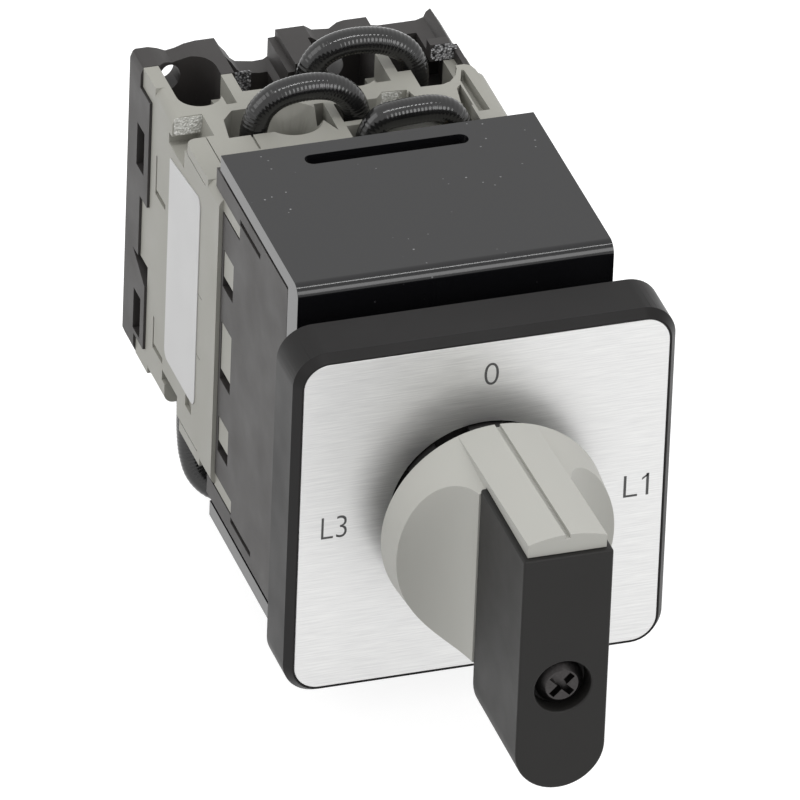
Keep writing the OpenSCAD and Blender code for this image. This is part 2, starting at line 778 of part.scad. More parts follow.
module rear_housing() {
    front = rear_y + gap_seat;
    plate_front = back_y - rear_plate_t;
    color("#2e2d2d")
    difference() {
        union() {
            slab(front, back_y - front) rear_outline();
            mirrored_z() {
                block(
                    [band_shares[0] * side_x, front, deck_z / 2],
                    [band_shares[1] * side_x, front + band_shares[2] * rear_len, deck_z]
                );
                block(
                    [wing_shares[0] * side_x, rear_y + wing_shares[2] * rear_len, wing_shares[3] * deck_z],
                    [wing_shares[1] * side_x, front + over, wing_shares[4] * deck_z]
                );
            }
        }
        mirrored_z() {
            for (c = rear_chamber_shares)
                block(
                    [c[0] * side_x, front - over, c[2] * deck_z],
                    [c[1] * side_x, plate_front, deck_z + over]
                );
            block(
                [wing_cavity_shares[0] * side_x - over, front - over, wing_cavity_shares[2] * deck_z],
                [wing_cavity_shares[1] * side_x, plate_front, wing_cavity_shares[3] * deck_z]
            );
            round_chamber(front - over, plate_front);
        }
        // Channels for the second stage's edge rails
        mirrored_z()
            block(
                [-side_x - over, front - over, deck_z - rail_drop - gap_seat],
                [-side_x + rail_w + gap_seat, rear_y + rail_tail + gap_seat, deck_z + over]
            );
        tongue(rear_y, 2 * web_t, gap_seat);
        // Wedge gap and barb gaps round the tongue
        mirrored_x()
            side_slab(side_x - tongue_t, tongue_t + over)
                polygon([
                    [front - over, tongue_z_shares[0] * deck_z],
                    [rear_y + rear_len * tongue_gap_shares[0], tongue_z_shares[0] * deck_z],
                    [front - over, tongue_z_shares[0] * deck_z - rear_len * tongue_gap_shares[1]]
                ]);
        mirrored_z()
            for (a = access_shares)
                rod(access_d / 2, front, rear_len + over, a[0] * side_x, a[1] * deck_z);
        mirrored_x()
            for (s = rear_slot_shares)
                block(
                    [side_x - web_t, front + s[0] * rear_len, s[2] * deck_z],
                    [side_x + over, front + s[1] * rear_len, s[3] * deck_z]
                );
        // Shaft bearing and the tie screws' seats
        rod(bearing_r, front - over, rear_len - rear_plate_t / 2 + over);
        tie_holes(rear_y, rear_len);
        for (s = tie_signs)
            rod(screw_head_d / 2 + gap_free, back_y - screw_head_h, screw_head_h + over, s * tie_x, s * tie_z);
    }
}

// A chamber with a round back, open at the front
module round_chamber(y, end_y) {
    c = round_chamber_shares;
    r = (c[1] - c[0]) * side_x / 2;
    block([c[0] * side_x, y, c[2] * deck_z], [c[1] * side_x, end_y - r, deck_z + over]);
    translate([(c[0] + c[1]) * side_x / 2, end_y - r, c[2] * deck_z])
        cylinder(r = r, h = deck_z);
}

// A blank label: its top slopes and its upper front corner is round
label_front = stage_2_y + web_t;
label_top_share = 0.78;

label_drop_share = 0.12;

module side_label() {
    low = label_top_share * deck_z - label_h;
    r = body_corner_r;
    color("#e4e4e2")
    side_slab(-side_x - label_t, label_t)
        difference() {
            translate([label_front + label_len / 2, low + label_h / 2])
                round_rect(label_len, label_h, r);
            polygon([
                [label_front + r, low + label_h + over],
                [label_front + r, low + label_h],
                [label_front + label_len + over, low + label_h - label_drop_share * label_len],
                [label_front + label_len + over, low + label_h + over]
            ]);
        }
}

// Screws pass both stages and end in the front housing
module tie_screws() {
    head_y = back_y - screw_head_h;
    end_y = stage_1_y - screw_d;
    color("#b9b4a6")
    for (s = tie_signs)
        difference() {
            union() {
                rod(screw_d / 2, end_y, head_y - end_y + gap_fit, s * tie_x, s * tie_z);
                rod(screw_head_d / 2, head_y, screw_head_h, s * tie_x, s * tie_z);
            }
            translate([s * tie_x, back_y - screw_head_h / 2, s * tie_z])
                block([-screw_head_d, 0, -spring_wire_d], [screw_head_d, screw_head_h, spring_wire_d]);
        }
}

module detent_rollers() {
    color("#c9c9c6")
    mirrored_x()
        rod(roller_d / 2 - gap_fit, index_y - index_t / 2, index_t, index_r + roller_d / 2 + gap_free);
}

// One spring as a single unbroken tube along +X
function spring_point(k, steps, len, mean_r) = [
    len * k / steps,
    mean_r * cos(360 * spring_turns * k / steps),
    mean_r * sin(360 * spring_turns * k / steps)
];

module spring(len) {
    steps = spring_turns * 10;
    sides = 5;
    wire_r = spring_wire_d / 2;
    mean_r = spring_mean_d / 2;
    route = [for (k = [0:steps]) spring_point(k, steps, len - 2 * wire_r, mean_r) + [wire_r, 0, 0]];
    tube(route, wire_r, sides);
}

// A tube swept along a route of points
function unit(v) = v / norm(v);
function route_dir(route, i) =
    unit(route[min(i + 1, len(route) - 1)] - route[max(i - 1, 0)]);
function first_side(d) =
    let (up = abs(d[2]) < 0.9 ? [0, 0, 1] : [0, 1, 0]) unit(cross(cross(d, up), d));
// Each ring's side direction is carried on from the ring before it
function carried_sides(route, i = 0, side = undef, out = []) =
    i >= len(route) ? out :
    let (
        d = route_dir(route, i),
        last = side == undef ? first_side(d) : side,
        now = unit(last - (last * d) * d)
    )
    carried_sides(route, i + 1, now, concat(out, [now]));
function ring_points(centre, d, side, r, sides) =
    let (other = cross(d, side))
    [for (k = [0:sides - 1]) centre + r * (cos(360 * k / sides) * side + sin(360 * k / sides) * other)];

module tube(route, r, sides) {
    n = len(route);
    side_list = carried_sides(route);
    points = [
        for (i = [0:n - 1])
            each ring_points(route[i], route_dir(route, i), side_list[i], r, sides)
    ];
    walls = [
        for (i = [0:n - 2], k = [0:sides - 1])
            let (a = i * sides + k, b = i * sides + (k + 1) % sides)
            each [[a, a + sides, b], [b, a + sides, b + sides]]
    ];
    front_cap = [for (k = [1:sides - 2]) [0, k, k + 1]];
    last = (n - 1) * sides;
    rear_cap = [for (k = [1:sides - 2]) [last, last + k + 1, last + k]];
    polyhedron(points, concat(walls, front_cap, rear_cap));
}

module detent_springs() {
    start = index_r + roller_d + gap_free + gap_seat;
    color("#b8b8b4")
    mirrored_x()
        translate([start, index_y, 0])
            spring(contact_end - start - gap_seat);
}

module contact_plungers() {
    color("#d9d4c4")
    mirrored_x()
        for (r = rows)
            difference() {
                block(
                    [plunger_x, r - plunger_t / 2, -plunger_w / 2],
                    [bridge_x - gap_fit, r + plunger_t / 2, plunger_w / 2]
                );
                mirrored_z()
                    translate([plunger_x, r - plunger_t, plunger_w / 2])
                        rotate([0, 45, 0])
                            translate([-strip_t / 2, 0, -strip_t / 2])
                                cube([strip_t, 2 * plunger_t, strip_t]);
            }
}

module plunger_springs() {
    color("#b8b8b4")
    mirrored_x()
        for (r = rows)
            translate([spring_x, r, 0])
                spring(spring_len);
}

// A bridge with a contact stud at each end
module moving_contacts() {
    color("#b87a4b")
    mirrored_x()
        for (r = rows)
            block(
                [bridge_x, r - strip_w / 2, -bridge_h / 2],
                [bridge_x + strip_t, r + strip_w / 2, bridge_h / 2]
            );
}

// Each strip rises beside the chamber and turns out under its terminal
module fixed_contacts() {
    foot = foot_w / 2 - gap_seat;
    color("#b87a4b")
    mirrored_x()
        mirrored_z()
            for (r = rows) {
                block(
                    [fixed_x, r - strip_w / 2, plunger_w / 2 + gap_free],
                    [fixed_x + strip_t, r + strip_w / 2, strip_top]
                );
                block(
                    [terminal_x - foot, r - strip_w / 2, pocket_z + gap_fit],
                    [terminal_x + foot, r + strip_w / 2, strip_top]
                );
            }
}

// A route over the upper (1) or the lower (-1) deck. Its points are shares of the half width, of
// the deck's length and, for the height above the deck, of the pockets' depth
function on_deck(points, side) = [
    for (p = points)
        [p[0] * side_x, stage_2_y + p[1] * stage_2_len, side * (deck_z + p[2] * pocket_d)]
];

// The jumpers' routes, from terminal to terminal

route_a = on_deck([
    [-0.0524, 0.902, -0.7902], [-0.0524, 0.902, -0.4685], [-0.0524, 0.902, -0.1189], [-0.0314, 0.902, 0.1329],
    [0.0262, 0.8971, 0.3287], [0.1204, 0.8922, 0.4545], [0.2356, 0.8873, 0.4965], [0.3665, 0.8775, 0.4685],
    [0.4712, 0.8676, 0.3706], [0.555, 0.8578, 0.1888], [0.5969, 0.848, -0.0769], [0.6021, 0.848, -0.3986],
    [0.6021, 0.848, -0.7902]
], 1);
route_b = on_deck([
    [-0.5602, 0.4314, -0.7902], [-0.5602, 0.4314, -0.3986], [-0.555, 0.4314, -0.049], [-0.5183, 0.4314, 0.2587],
    [-0.4398, 0.4314, 0.4685], [-0.3403, 0.4314, 0.5664], [-0.2304, 0.4314, 0.5944], [-0.1204, 0.4314, 0.5664],
    [-0.0209, 0.4314, 0.4545], [0.0524, 0.4314, 0.2448], [0.089, 0.4314, -0.021], [0.0995, 0.4314, -0.3287],
    [0.0995, 0.4314, -0.7902]
], 1);
route_c = on_deck([
    [0.0838, 0.2157, -0.7902], [0.0838, 0.2157, -0.5385], [0.089, 0.2157, -0.2727], [0.1099, 0.2157, -0.007],
    [0.1728, 0.2157, 0.2028], [0.2723, 0.2157, 0.2587], [0.377, 0.2157, 0.2727], [0.4869, 0.2157, 0.2657],
    [0.5864, 0.2157, 0.1748], [0.6492, 0.2157, -0.049], [0.6702, 0.2157, -0.3566], [0.6702, 0.2157, -0.7902]
], 1);
route_d = on_deck([
    [-0.7696, 0.8333, -0.7902], [-0.7696, 0.8333, -0.3287], [-0.7696, 0.8333, 0.0909], [-0.7644, 0.8235, 0.5105],
    [-0.7644, 0.8137, 0.9301], [-0.7592, 0.7745, 1.3217], [-0.7277, 0.7206, 1.6294], [-0.644, 0.6569, 1.8112],
    [-0.5131, 0.6029, 1.7972], [-0.3665, 0.5588, 1.6014], [-0.2199, 0.5147, 1.2378], [-0.0733, 0.4706, 0.7902],
    [0.0419, 0.4412, 0.3287], [0.0942, 0.4314, -0.1189], [0.0995, 0.4314, -0.4685], [0.0995, 0.4314, -0.7902]
], -1);

// A smooth curve through the route's points, two steps a span
function curve_point(p, i, t) =
    let (
        a = p[max(i - 1, 0)], b = p[i], c = p[i + 1], d = p[min(i + 2, len(p) - 1)]
    )
    0.5 * (2 * b + (c - a) * t + (2 * a - 5 * b + 4 * c - d) * t * t + (3 * b - a - 3 * c + d) * t * t * t);
function smooth_route(p) = concat(
    [for (i = [0:len(p) - 2], t = [0, 0.5]) curve_point(p, i, t)],
    [p[len(p) - 1]]
);

module jumper(route) {
    color("#1a1a1a")
    tube(smooth_route(route), wire_d / 2, 8);
}

module jumper_a() { jumper(route_a); }
module jumper_b() { jumper(route_b); }
module jumper_c() { jumper(route_c); }
module jumper_d() { jumper(route_d); }

// The dial, from its rear edge forwards
dial_y = plate_y - dial_gap;
dial_front_y = dial_y - dial_len;
grip_front_y = dial_front_y - grip_len;
bar_front_y = grip_front_y + bar_setback;
grip_top = bar_front_r - bar_t;
grip_round_z = -(grip_low - grip_w / 2);
core_w = grip_w - 2 * grip_wall - 2 * gap_seat;
core_front_y = grip_front_y + grip_front_t + gap_seat;
hub_r = neck_bore_d / 2 - gap_free;
socket_y = dial_front_y + grip_front_t;

// A flat-topped outline with a round lower end
module tongue_outline(w, top, low_z) {
    translate([-w / 2, low_z]) square([w, top - low_z]);
    translate([0, low_z]) circle(w / 2);
}

module taper(y, len, r_rear, r_front) {
    translate([0, y, 0])
        rotate([90, 0, 0])
            cylinder(r1 = r_rear, r2 = r_front, h = len);
}

module dial() {
    bar_len = dial_y - bar_front_y;
    color("#a8a69f")
    difference() {
        union() {
            difference() {
                taper(dial_y, dial_len, dial_d / 2, dial_front_d / 2);
                // Hollows that sweep from the rim up to the grip
                mirrored_x()
                    translate([grip_w / 2 + cove_r, dial_front_y - cove_r / 5, 0])
                        cylinder(r = cove_r, h = 2 * dial_d, center = true);
            }
            intersection() {
                taper(dial_y, bar_len, dial_d / 2, bar_front_r);
                union() {
                    block([-bar_w / 2, bar_front_y, grip_top], [bar_w / 2, dial_y, bar_front_r + over]);
                    block([-bar_w / 2, dial_front_y, 0], [bar_w / 2, dial_y, bar_front_r + over]);
                }
            }
            slab(core_front_y, dial_front_y - core_front_y + over)
                tongue_outline(core_w, grip_top + bar_groove_d, grip_round_z);
            rod(hub_r, dial_y - over, dial_gap + plate_t + over);
        }
        // The skirt is hollow round the hub
        difference() {
            rod(dial_front_d / 2 - web_t, dial_y - dial_recess_d, dial_len);
            rod(hub_r, dial_front_y, 2 * dial_len);
        }
        slab(socket_y, 2 * dial_len)
            square(shaft_af + 2 * gap_fit, center = true);
        rod(screw_d / 2 + gap_fit, core_front_y - over, 3 * screw_d + over, 0, -grip_screw_z);
        // Groove along the bar's top
        difference() {
            block([-bar_groove_w / 2, bar_front_y - over, 0], [bar_groove_w / 2, dial_y + over, bar_front_r + over]);
            taper(dial_y + 2 * over, bar_len + 4 * over, dial_d / 2 - bar_groove_d, bar_front_r - bar_groove_d);
        }
    }
}

module grip() {
    color("#2f2c2c")
    difference() {
        slab(grip_front_y, grip_len - gap_fit)
            tongue_outline(grip_w, grip_top - gap_fit, grip_round_z);
        slab(core_front_y - gap_seat, grip_len)
            tongue_outline(core_w + 2 * gap_seat, grip_top + over, grip_round_z);
        rod(screw_d / 2 + gap_seat, grip_front_y - over, grip_len, 0, -grip_screw_z);
        rod(grip_counterbore_d / 2, grip_front_y - over, grip_front_t - web_t / 2 + over, 0, -grip_screw_z);
    }
}

// The screw head's flat top and its cross recess, as shares of its diameter
head_top_share = 0.7;
cross_share = 0.62;

module grip_screw() {
    seat_y = grip_front_y + grip_front_t - web_t / 2;
    color("#3b3838")
    difference() {
        union() {
            rod(screw_d / 2, seat_y - gap_fit, 3 * screw_d, 0, -grip_screw_z);
            translate([0, seat_y - gap_fit, -grip_screw_z])
                rotate([90, 0, 0]) {
                    cylinder(d = screw_head_d, h = screw_head_h / 2);
                    translate([0, 0, screw_head_h / 2])
                        cylinder(d1 = screw_head_d, d2 = screw_head_d * head_top_share, h = screw_head_h / 2);
                }
        }
        // Cross recess, as the photograph shows it, on the slant
        translate([0, seat_y - screw_head_h, -grip_screw_z])
            rotate([0, 45, 0])
                for (a = [0, 90])
                    rotate([0, a, 0])
                        cube([screw_head_d * cross_share, screw_head_h, 2 * spring_wire_d], center = true);
    }
}

module shaft() {
    front_y = socket_y + gap_seat;
    rear_end = back_y - rear_plate_t / 2 - gap_seat;
    color("#a9a9a9") {
        slab(front_y, rear_end - front_y)
            intersection() {
                square(shaft_af, center = true);
                circle(journal_r);
            }
        rod(journal_r, housing_y - 2 * web_t, housing_wall_t + 2 * web_t);
        rod(journal_r, rear_y + gap_seat, rear_end - rear_y - gap_seat);
    }
}

module square_hole(y, len) {
    slab(y - over, len + 2 * over)
        square(shaft_af + 2 * gap_fit, center = true);
}

// Four hollows in the rim hold the dial at its four places
module index_wheel() {
    y = index_y - index_t / 2;
    color("#8c6b3a")
    difference() {
        slab(y, index_t)
            difference() {
                circle(index_r);
                for (a = [0:90:270])
                    rotate(a)
                        translate([index_r + roller_d / 4, 0])
                            circle(roller_d / 2 + gap_free);
            }
        square_hole(y, index_t);
    }
}

// A cam: the low circle with its lobes, given as start and end angles
module cam(y, lobes) {
    color("#c8b06a")
    difference() {
        union() {
            rod(cam_low_d / 2, y - cam_t / 2, cam_t);
            slab(y - cam_t / 2, cam_t)
                intersection() {
                    circle(cam_r);
                    for (l = lobes)
                        sector(cam_d, l[0], l[1]);
                }
        }
        square_hole(y - cam_t / 2, cam_t);
    }
}

module cam_1() { cam(rows[0], [[-60, 60], [120, 150]]); }
module cam_2() { cam(rows[1], [[30, 150], [210, 330]]); }
module cam_3() { cam(rows[2], [[120, 240], [-30, 30]]); }

bezel();
legend_plate();
ring_nut();
front_housing();
front_cover();
stage_1_housing();
stage_2_housing();
rear_housing();
side_label();
tie_screws();
detent_rollers();
detent_springs();
contact_plungers();
plunger_springs();
moving_contacts();
fixed_contacts();
terminal_clamps();
terminal_screws();
jumper_a();
jumper_b();
jumper_c();
jumper_d();
dial();
grip();
grip_screw();
shaft();
index_wheel();
cam_1();
cam_2();
cam_3();
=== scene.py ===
import json
import math
import random

import bmesh
import bpy
from mathutils import Matrix, Vector
from mathutils.bvhtree import BVHTree


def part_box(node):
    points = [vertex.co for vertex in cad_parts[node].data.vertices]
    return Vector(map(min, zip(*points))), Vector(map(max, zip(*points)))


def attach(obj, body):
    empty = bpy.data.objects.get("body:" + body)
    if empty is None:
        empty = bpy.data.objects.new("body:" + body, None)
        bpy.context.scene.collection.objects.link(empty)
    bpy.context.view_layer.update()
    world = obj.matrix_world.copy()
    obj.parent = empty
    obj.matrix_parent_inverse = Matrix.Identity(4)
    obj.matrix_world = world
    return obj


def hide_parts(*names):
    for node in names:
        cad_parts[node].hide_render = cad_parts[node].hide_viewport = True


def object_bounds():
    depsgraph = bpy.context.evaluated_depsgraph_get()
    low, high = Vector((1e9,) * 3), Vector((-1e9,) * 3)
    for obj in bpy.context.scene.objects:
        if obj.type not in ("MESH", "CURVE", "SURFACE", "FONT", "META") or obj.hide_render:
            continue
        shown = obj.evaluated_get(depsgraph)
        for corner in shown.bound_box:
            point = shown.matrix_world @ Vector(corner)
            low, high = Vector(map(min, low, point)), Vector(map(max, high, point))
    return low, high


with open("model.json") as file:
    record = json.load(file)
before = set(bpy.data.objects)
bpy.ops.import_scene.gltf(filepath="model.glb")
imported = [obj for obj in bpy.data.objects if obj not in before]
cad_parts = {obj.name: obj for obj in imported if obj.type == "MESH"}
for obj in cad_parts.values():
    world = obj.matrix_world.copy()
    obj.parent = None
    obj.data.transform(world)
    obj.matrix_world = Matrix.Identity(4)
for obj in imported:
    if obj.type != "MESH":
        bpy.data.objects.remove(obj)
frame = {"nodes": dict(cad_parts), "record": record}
cad_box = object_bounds()
MM = 0.001
nodes = frame["nodes"]
BODY = "body"
NODE_BODY = {n: b for b, names in frame["record"]["behaviour"]["bodies"].items() for n in names}
NODE_SLOT = {s["node"]: s["material_slot"] for s in frame["record"]["subparts"]}

# Camera, solved from the plate's and the cover's corners in the photograph
CAMERA_AZIMUTH = math.radians(-18.97)
CAMERA_ELEVATION = math.radians(32.63)
CAMERA_ROLL = math.radians(2.29)
CAMERA_DISTANCE = 1.8
FOCAL_PX = 16029.0
FRAME_PX = 800.0
PLATE_CENTRE_PX = (481.83, 504.16)
SENSOR = 36.0


def low(node):
    return Vector(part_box(node)[0])


PLATE_FRONT = low("legend_plate").y


def make_camera():
    sin_a, cos_a = math.sin(CAMERA_AZIMUTH), math.cos(CAMERA_AZIMUTH)
    sin_e, cos_e = math.sin(CAMERA_ELEVATION), math.cos(CAMERA_ELEVATION)
    sin_r, cos_r = math.sin(CAMERA_ROLL), math.cos(CAMERA_ROLL)
    back = Vector((sin_a * cos_e, -cos_a * cos_e, sin_e))
    flat_right = Vector((cos_a, sin_a, 0))
    flat_up = Vector((-sin_a * sin_e, cos_a * sin_e, cos_e))
    right = flat_right * cos_r + flat_up * sin_r
    up = flat_up * cos_r - flat_right * sin_r
    off_x = (PLATE_CENTRE_PX[0] - FRAME_PX / 2) / FOCAL_PX * CAMERA_DISTANCE
    off_y = (PLATE_CENTRE_PX[1] - FRAME_PX / 2) / FOCAL_PX * CAMERA_DISTANCE
    eye = Vector((0, PLATE_FRONT, 0)) + back * CAMERA_DISTANCE - right * off_x + up * off_y
    data = bpy.data.cameras.new("photo_camera")
    data.sensor_width = SENSOR
    data.lens = SENSOR * FOCAL_PX / FRAME_PX
    data.clip_end = 20
    camera = bpy.data.objects.new("photo_camera", data)
    bpy.context.collection.objects.link(camera)
    turn = Matrix((right, up, back)).transposed().to_4x4()
    camera.matrix_world = Matrix.Translation(eye) @ turn
    bpy.context.scene.camera = camera


# Materials

def linear(hex_colour):
    """An sRGB hex colour as linear RGBA."""
    out = []
    for i in (1, 3, 5):
        c = int(hex_colour[i:i + 2], 16) / 255
        out.append(c / 12.92 if c <= 0.04045 else ((c + 0.055) / 1.055) ** 2.4)
    return (*out, 1.0)


def add(tree, kind, settings=None, inputs=None, links=None):
    """Adds a node with its settings, input values and links from other sockets."""
    node = tree.nodes.new(kind)
    for key, value in (settings or {}).items():
        setattr(node, key, value)
    for key, value in (inputs or {}).items():
        node.inputs[key].default_value = value
    for key, socket in (links or {}).items():
        tree.links.new(socket, node.inputs[key])
    return node


def new_material(name):
    material = bpy.data.materials.new(name)
    material.use_nodes = True
    tree = material.node_tree
    tree.nodes.clear()
    output = add(tree, "ShaderNodeOutputMaterial")
    shader = add(tree, "ShaderNodeBsdfPrincipled")
    tree.links.new(shader.outputs[0], output.inputs[0])
    return material, tree, shader


def object_coords(tree, scale=(1, 1, 1)):
    coords = add(tree, "ShaderNodeTexCoord")
    return add(tree, "ShaderNodeMapping", inputs={"Scale": scale}, links={"Vector": coords.outputs["Object"]})


def grain_scale(size_mm):
    """A noise texture's scale whose grains are about that size."""
    return 1 / (size_mm * MM)


# How far the gloss of a moulding wanders from patch to patch
ROUGH_SWING = 0.06


def moulded_plastic(name, colour, shade, roughness, grain_mm, bump_mm, patch_mm=9, specular=0.5):
    """Injection-moulded plastic: a fine spark-eroded grain and faint flow patches of tone."""
    material, tree, shader = new_material(name)
    place = object_coords(tree)
    patches = add(
        tree, "ShaderNodeTexNoise", inputs={"Scale": grain_scale(patch_mm), "Detail": 4.0},
        links={"Vector": place.outputs[0]},
    )
    tone = add(tree, "ShaderNodeMix", {"data_type": "RGBA"}, links={0: patches.outputs[0]})
    tone.inputs[6].default_value = linear(colour)
    tone.inputs[7].default_value = linear(shade)
    grain = add(
        tree, "ShaderNodeTexNoise", inputs={"Scale": grain_scale(grain_mm), "Detail": 2.0},
        links={"Vector": place.outputs[0]},
    )
    rough = add(
        tree, "ShaderNodeMapRange",
        inputs={
            "From Min": 0.3, "From Max": 0.7,
            "To Min": roughness - ROUGH_SWING, "To Max": roughness + ROUGH_SWING,
        },
        links={"Value": patches.outputs[0]},
    )
    bump = add(
        tree, "ShaderNodeBump", inputs={"Strength": 0.6, "Distance": bump_mm * MM},
        links={"Height": grain.outputs[0]},
    )
    shader.inputs["Specular IOR Level"].default_value = specular
    tree.links.new(tone.outputs[2], shader.inputs["Base Color"])
    tree.links.new(rough.outputs[0], shader.inputs["Roughness"])
    tree.links.new(bump.outputs[0], shader.inputs["Normal"])
    return material


def brushed_plate():
    """Aluminium foil laminate brushed along X: long hair lines, soft grey reflections."""
    material, tree, shader = new_material("brushed_aluminium_laminate")
    # Lines are about 0.07 mm apart on the real plate; drawn at 0.16 mm so that they show
    place = object_coords(tree, (0.03, 1, 1))
    lines = add(
        tree, "ShaderNodeTexNoise", inputs={"Scale": grain_scale(0.16), "Detail": 3.0, "Roughness": 0.7},
        links={"Vector": place.outputs[0]},
    )
    tone = add(
        tree, "ShaderNodeMapRange", inputs={"From Min": 0.25, "From Max": 0.75, "To Min": 0.0, "To Max": 1.0},
        links={"Value": lines.outputs[0]},
    )
    colour = add(tree, "ShaderNodeMix", {"data_type": "RGBA"}, links={0: tone.outputs[0]})
    colour.inputs[6].default_value = linear("#cdcdcd")
    colour.inputs[7].default_value = linear("#e8e8e7")
    rough = add(
        tree, "ShaderNodeMapRange", inputs={"From Min": 0.2, "From Max": 0.8, "To Min": 0.34, "To Max": 0.5},
        links={"Value": lines.outputs[0]},
    )
    bump = add(
        tree, "ShaderNodeBump", inputs={"Strength": 0.35, "Distance": 0.01 * MM},
        links={"Height": lines.outputs[0]},
    )
    shader.inputs["Metallic"].default_value = 0.85
    shader.inputs["Anisotropic"].default_value = 0.5
    tree.links.new(colour.outputs[2], shader.inputs["Base Color"])
    tree.links.new(rough.outputs[0], shader.inputs["Roughness"])
    tree.links.new(bump.outputs[0], shader.inputs["Normal"])
    return material


def gloss_cover():
    """Polished moulding tool: a mirror-like black skin with a few dust specks and faint orange peel."""
    material, tree, shader = new_material("glossy_black_polycarbonate")
    place = object_coords(tree)
    dust = add(
        tree, "ShaderNodeTexVoronoi", inputs={"Scale": grain_scale(1.6), "Randomness": 1.0},
        links={"Vector": place.outputs[0]},
    )
    clusters = add(
        tree, "ShaderNodeTexNoise", inputs={"Scale": grain_scale(11), "Detail": 2.0},
        links={"Vector": place.outputs[0]},
    )
    near = add(
        tree, "ShaderNodeMapRange", inputs={"From Min": 0.05, "From Max": 0.09, "To Min": 1.0, "To Max": 0.0},
        links={"Value": dust.outputs["Distance"]},
    )
    where = add(
        tree, "ShaderNodeMapRange", inputs={"From Min": 0.46, "From Max": 0.6, "To Min": 0.0, "To Max": 0.75},
        links={"Value": clusters.outputs[0]},
    )
    speck = add(
        tree, "ShaderNodeMath", {"operation": "MULTIPLY"},
        links={0: near.outputs[0], 1: where.outputs[0]},
    )
    colour = add(tree, "ShaderNodeMix", {"data_type": "RGBA"}, links={0: speck.outputs[0]})
    colour.inputs[6].default_value = linear("#0f0f11")
    colour.inputs[7].default_value = linear("#9a9a9c")
    rough = add(
        tree, "ShaderNodeMapRange", inputs={"To Min": 0.13, "To Max": 0.6},
        links={"Value": speck.outputs[0]},
    )
    peel = add(
        tree, "ShaderNodeTexNoise", inputs={"Scale": grain_scale(2.2), "Detail": 2.0},
        links={"Vector": place.outputs[0]},
    )
    bump = add(
        tree, "ShaderNodeBump", inputs={"Strength": 0.25, "Distance": 0.01 * MM},
        links={"Height": peel.outputs[0]},
    )
    tree.links.new(colour.outputs[2], shader.inputs["Base Color"])
    tree.links.new(rough.outputs[0], shader.inputs["Roughness"])
    tree.links.new(bump.outputs[0], shader.inputs["Normal"])
    return material


def grit_pad(name, colour, painted_glint, grain_mm):
    """Coarse spark-eroded pad: a crust of grains, each with a painted highlight at its centre."""
    material, tree, shader = new_material(name)
    place = object_coords(tree)
    grains = add(
        tree, "ShaderNodeTexVoronoi", inputs={"Scale": grain_scale(grain_mm), "Randomness": 1.0},
        links={"Vector": place.outputs[0]},
    )
    tone = add(
        tree, "ShaderNodeMapRange", inputs={"From Min": 0.1, "From Max": 0.7},
        links={"Value": grains.outputs["Distance"]},
    )
    # Painted highlight: each grain's centre takes the bright colour, as if it caught the light
    mixed = add(tree, "ShaderNodeMix", {"data_type": "RGBA"}, links={0: tone.outputs[0]})
    mixed.inputs[6].default_value = linear(painted_glint)
    mixed.inputs[7].default_value = linear(colour)
    bump = add(
        tree, "ShaderNodeBump", {"invert": True}, {"Strength": 0.9, "Distance": grain_mm * 0.4 * MM},
        {"Height": grains.outputs["Distance"]},
    )
    shader.inputs["Roughness"].default_value = 0.4
    tree.links.new(mixed.outputs[2], shader.inputs["Base Color"])
    tree.links.new(bump.outputs[0], shader.inputs["Normal"])
    return material


def metal(name, colour, dark, roughness, grain_mm, stretch=(1, 1, 1)):
    """Plain metal with the fine lines that drawing, turning or stamping leaves."""
    material, tree, shader = new_material(name)
    place = object_coords(tree, stretch)
    lines = add(
        tree, "ShaderNodeTexNoise", inputs={"Scale": grain_scale(grain_mm), "Detail": 3.0},
        links={"Vector": place.outputs[0]},
    )
    tone = add(tree, "ShaderNodeMix", {"data_type": "RGBA"}, links={0: lines.outputs[0]})
    tone.inputs[6].default_value = linear(dark)
    tone.inputs[7].default_value = linear(colour)
    rough = add(
        tree, "ShaderNodeMapRange", inputs={"To Min": roughness - 0.08, "To Max": roughness + 0.1},
        links={"Value": lines.outputs[0]},
    )
    bump = add(
        tree, "ShaderNodeBump", inputs={"Strength": 0.3, "Distance": 0.01 * MM},
        links={"Height": lines.outputs[0]},
    )
    shader.inputs["Metallic"].default_value = 1.0
    tree.links.new(tone.outputs[2], shader.inputs["Base Color"])
    tree.links.new(rough.outputs[0], shader.inputs["Roughness"])
    tree.links.new(bump.outputs[0], shader.inputs["Normal"])
    return material


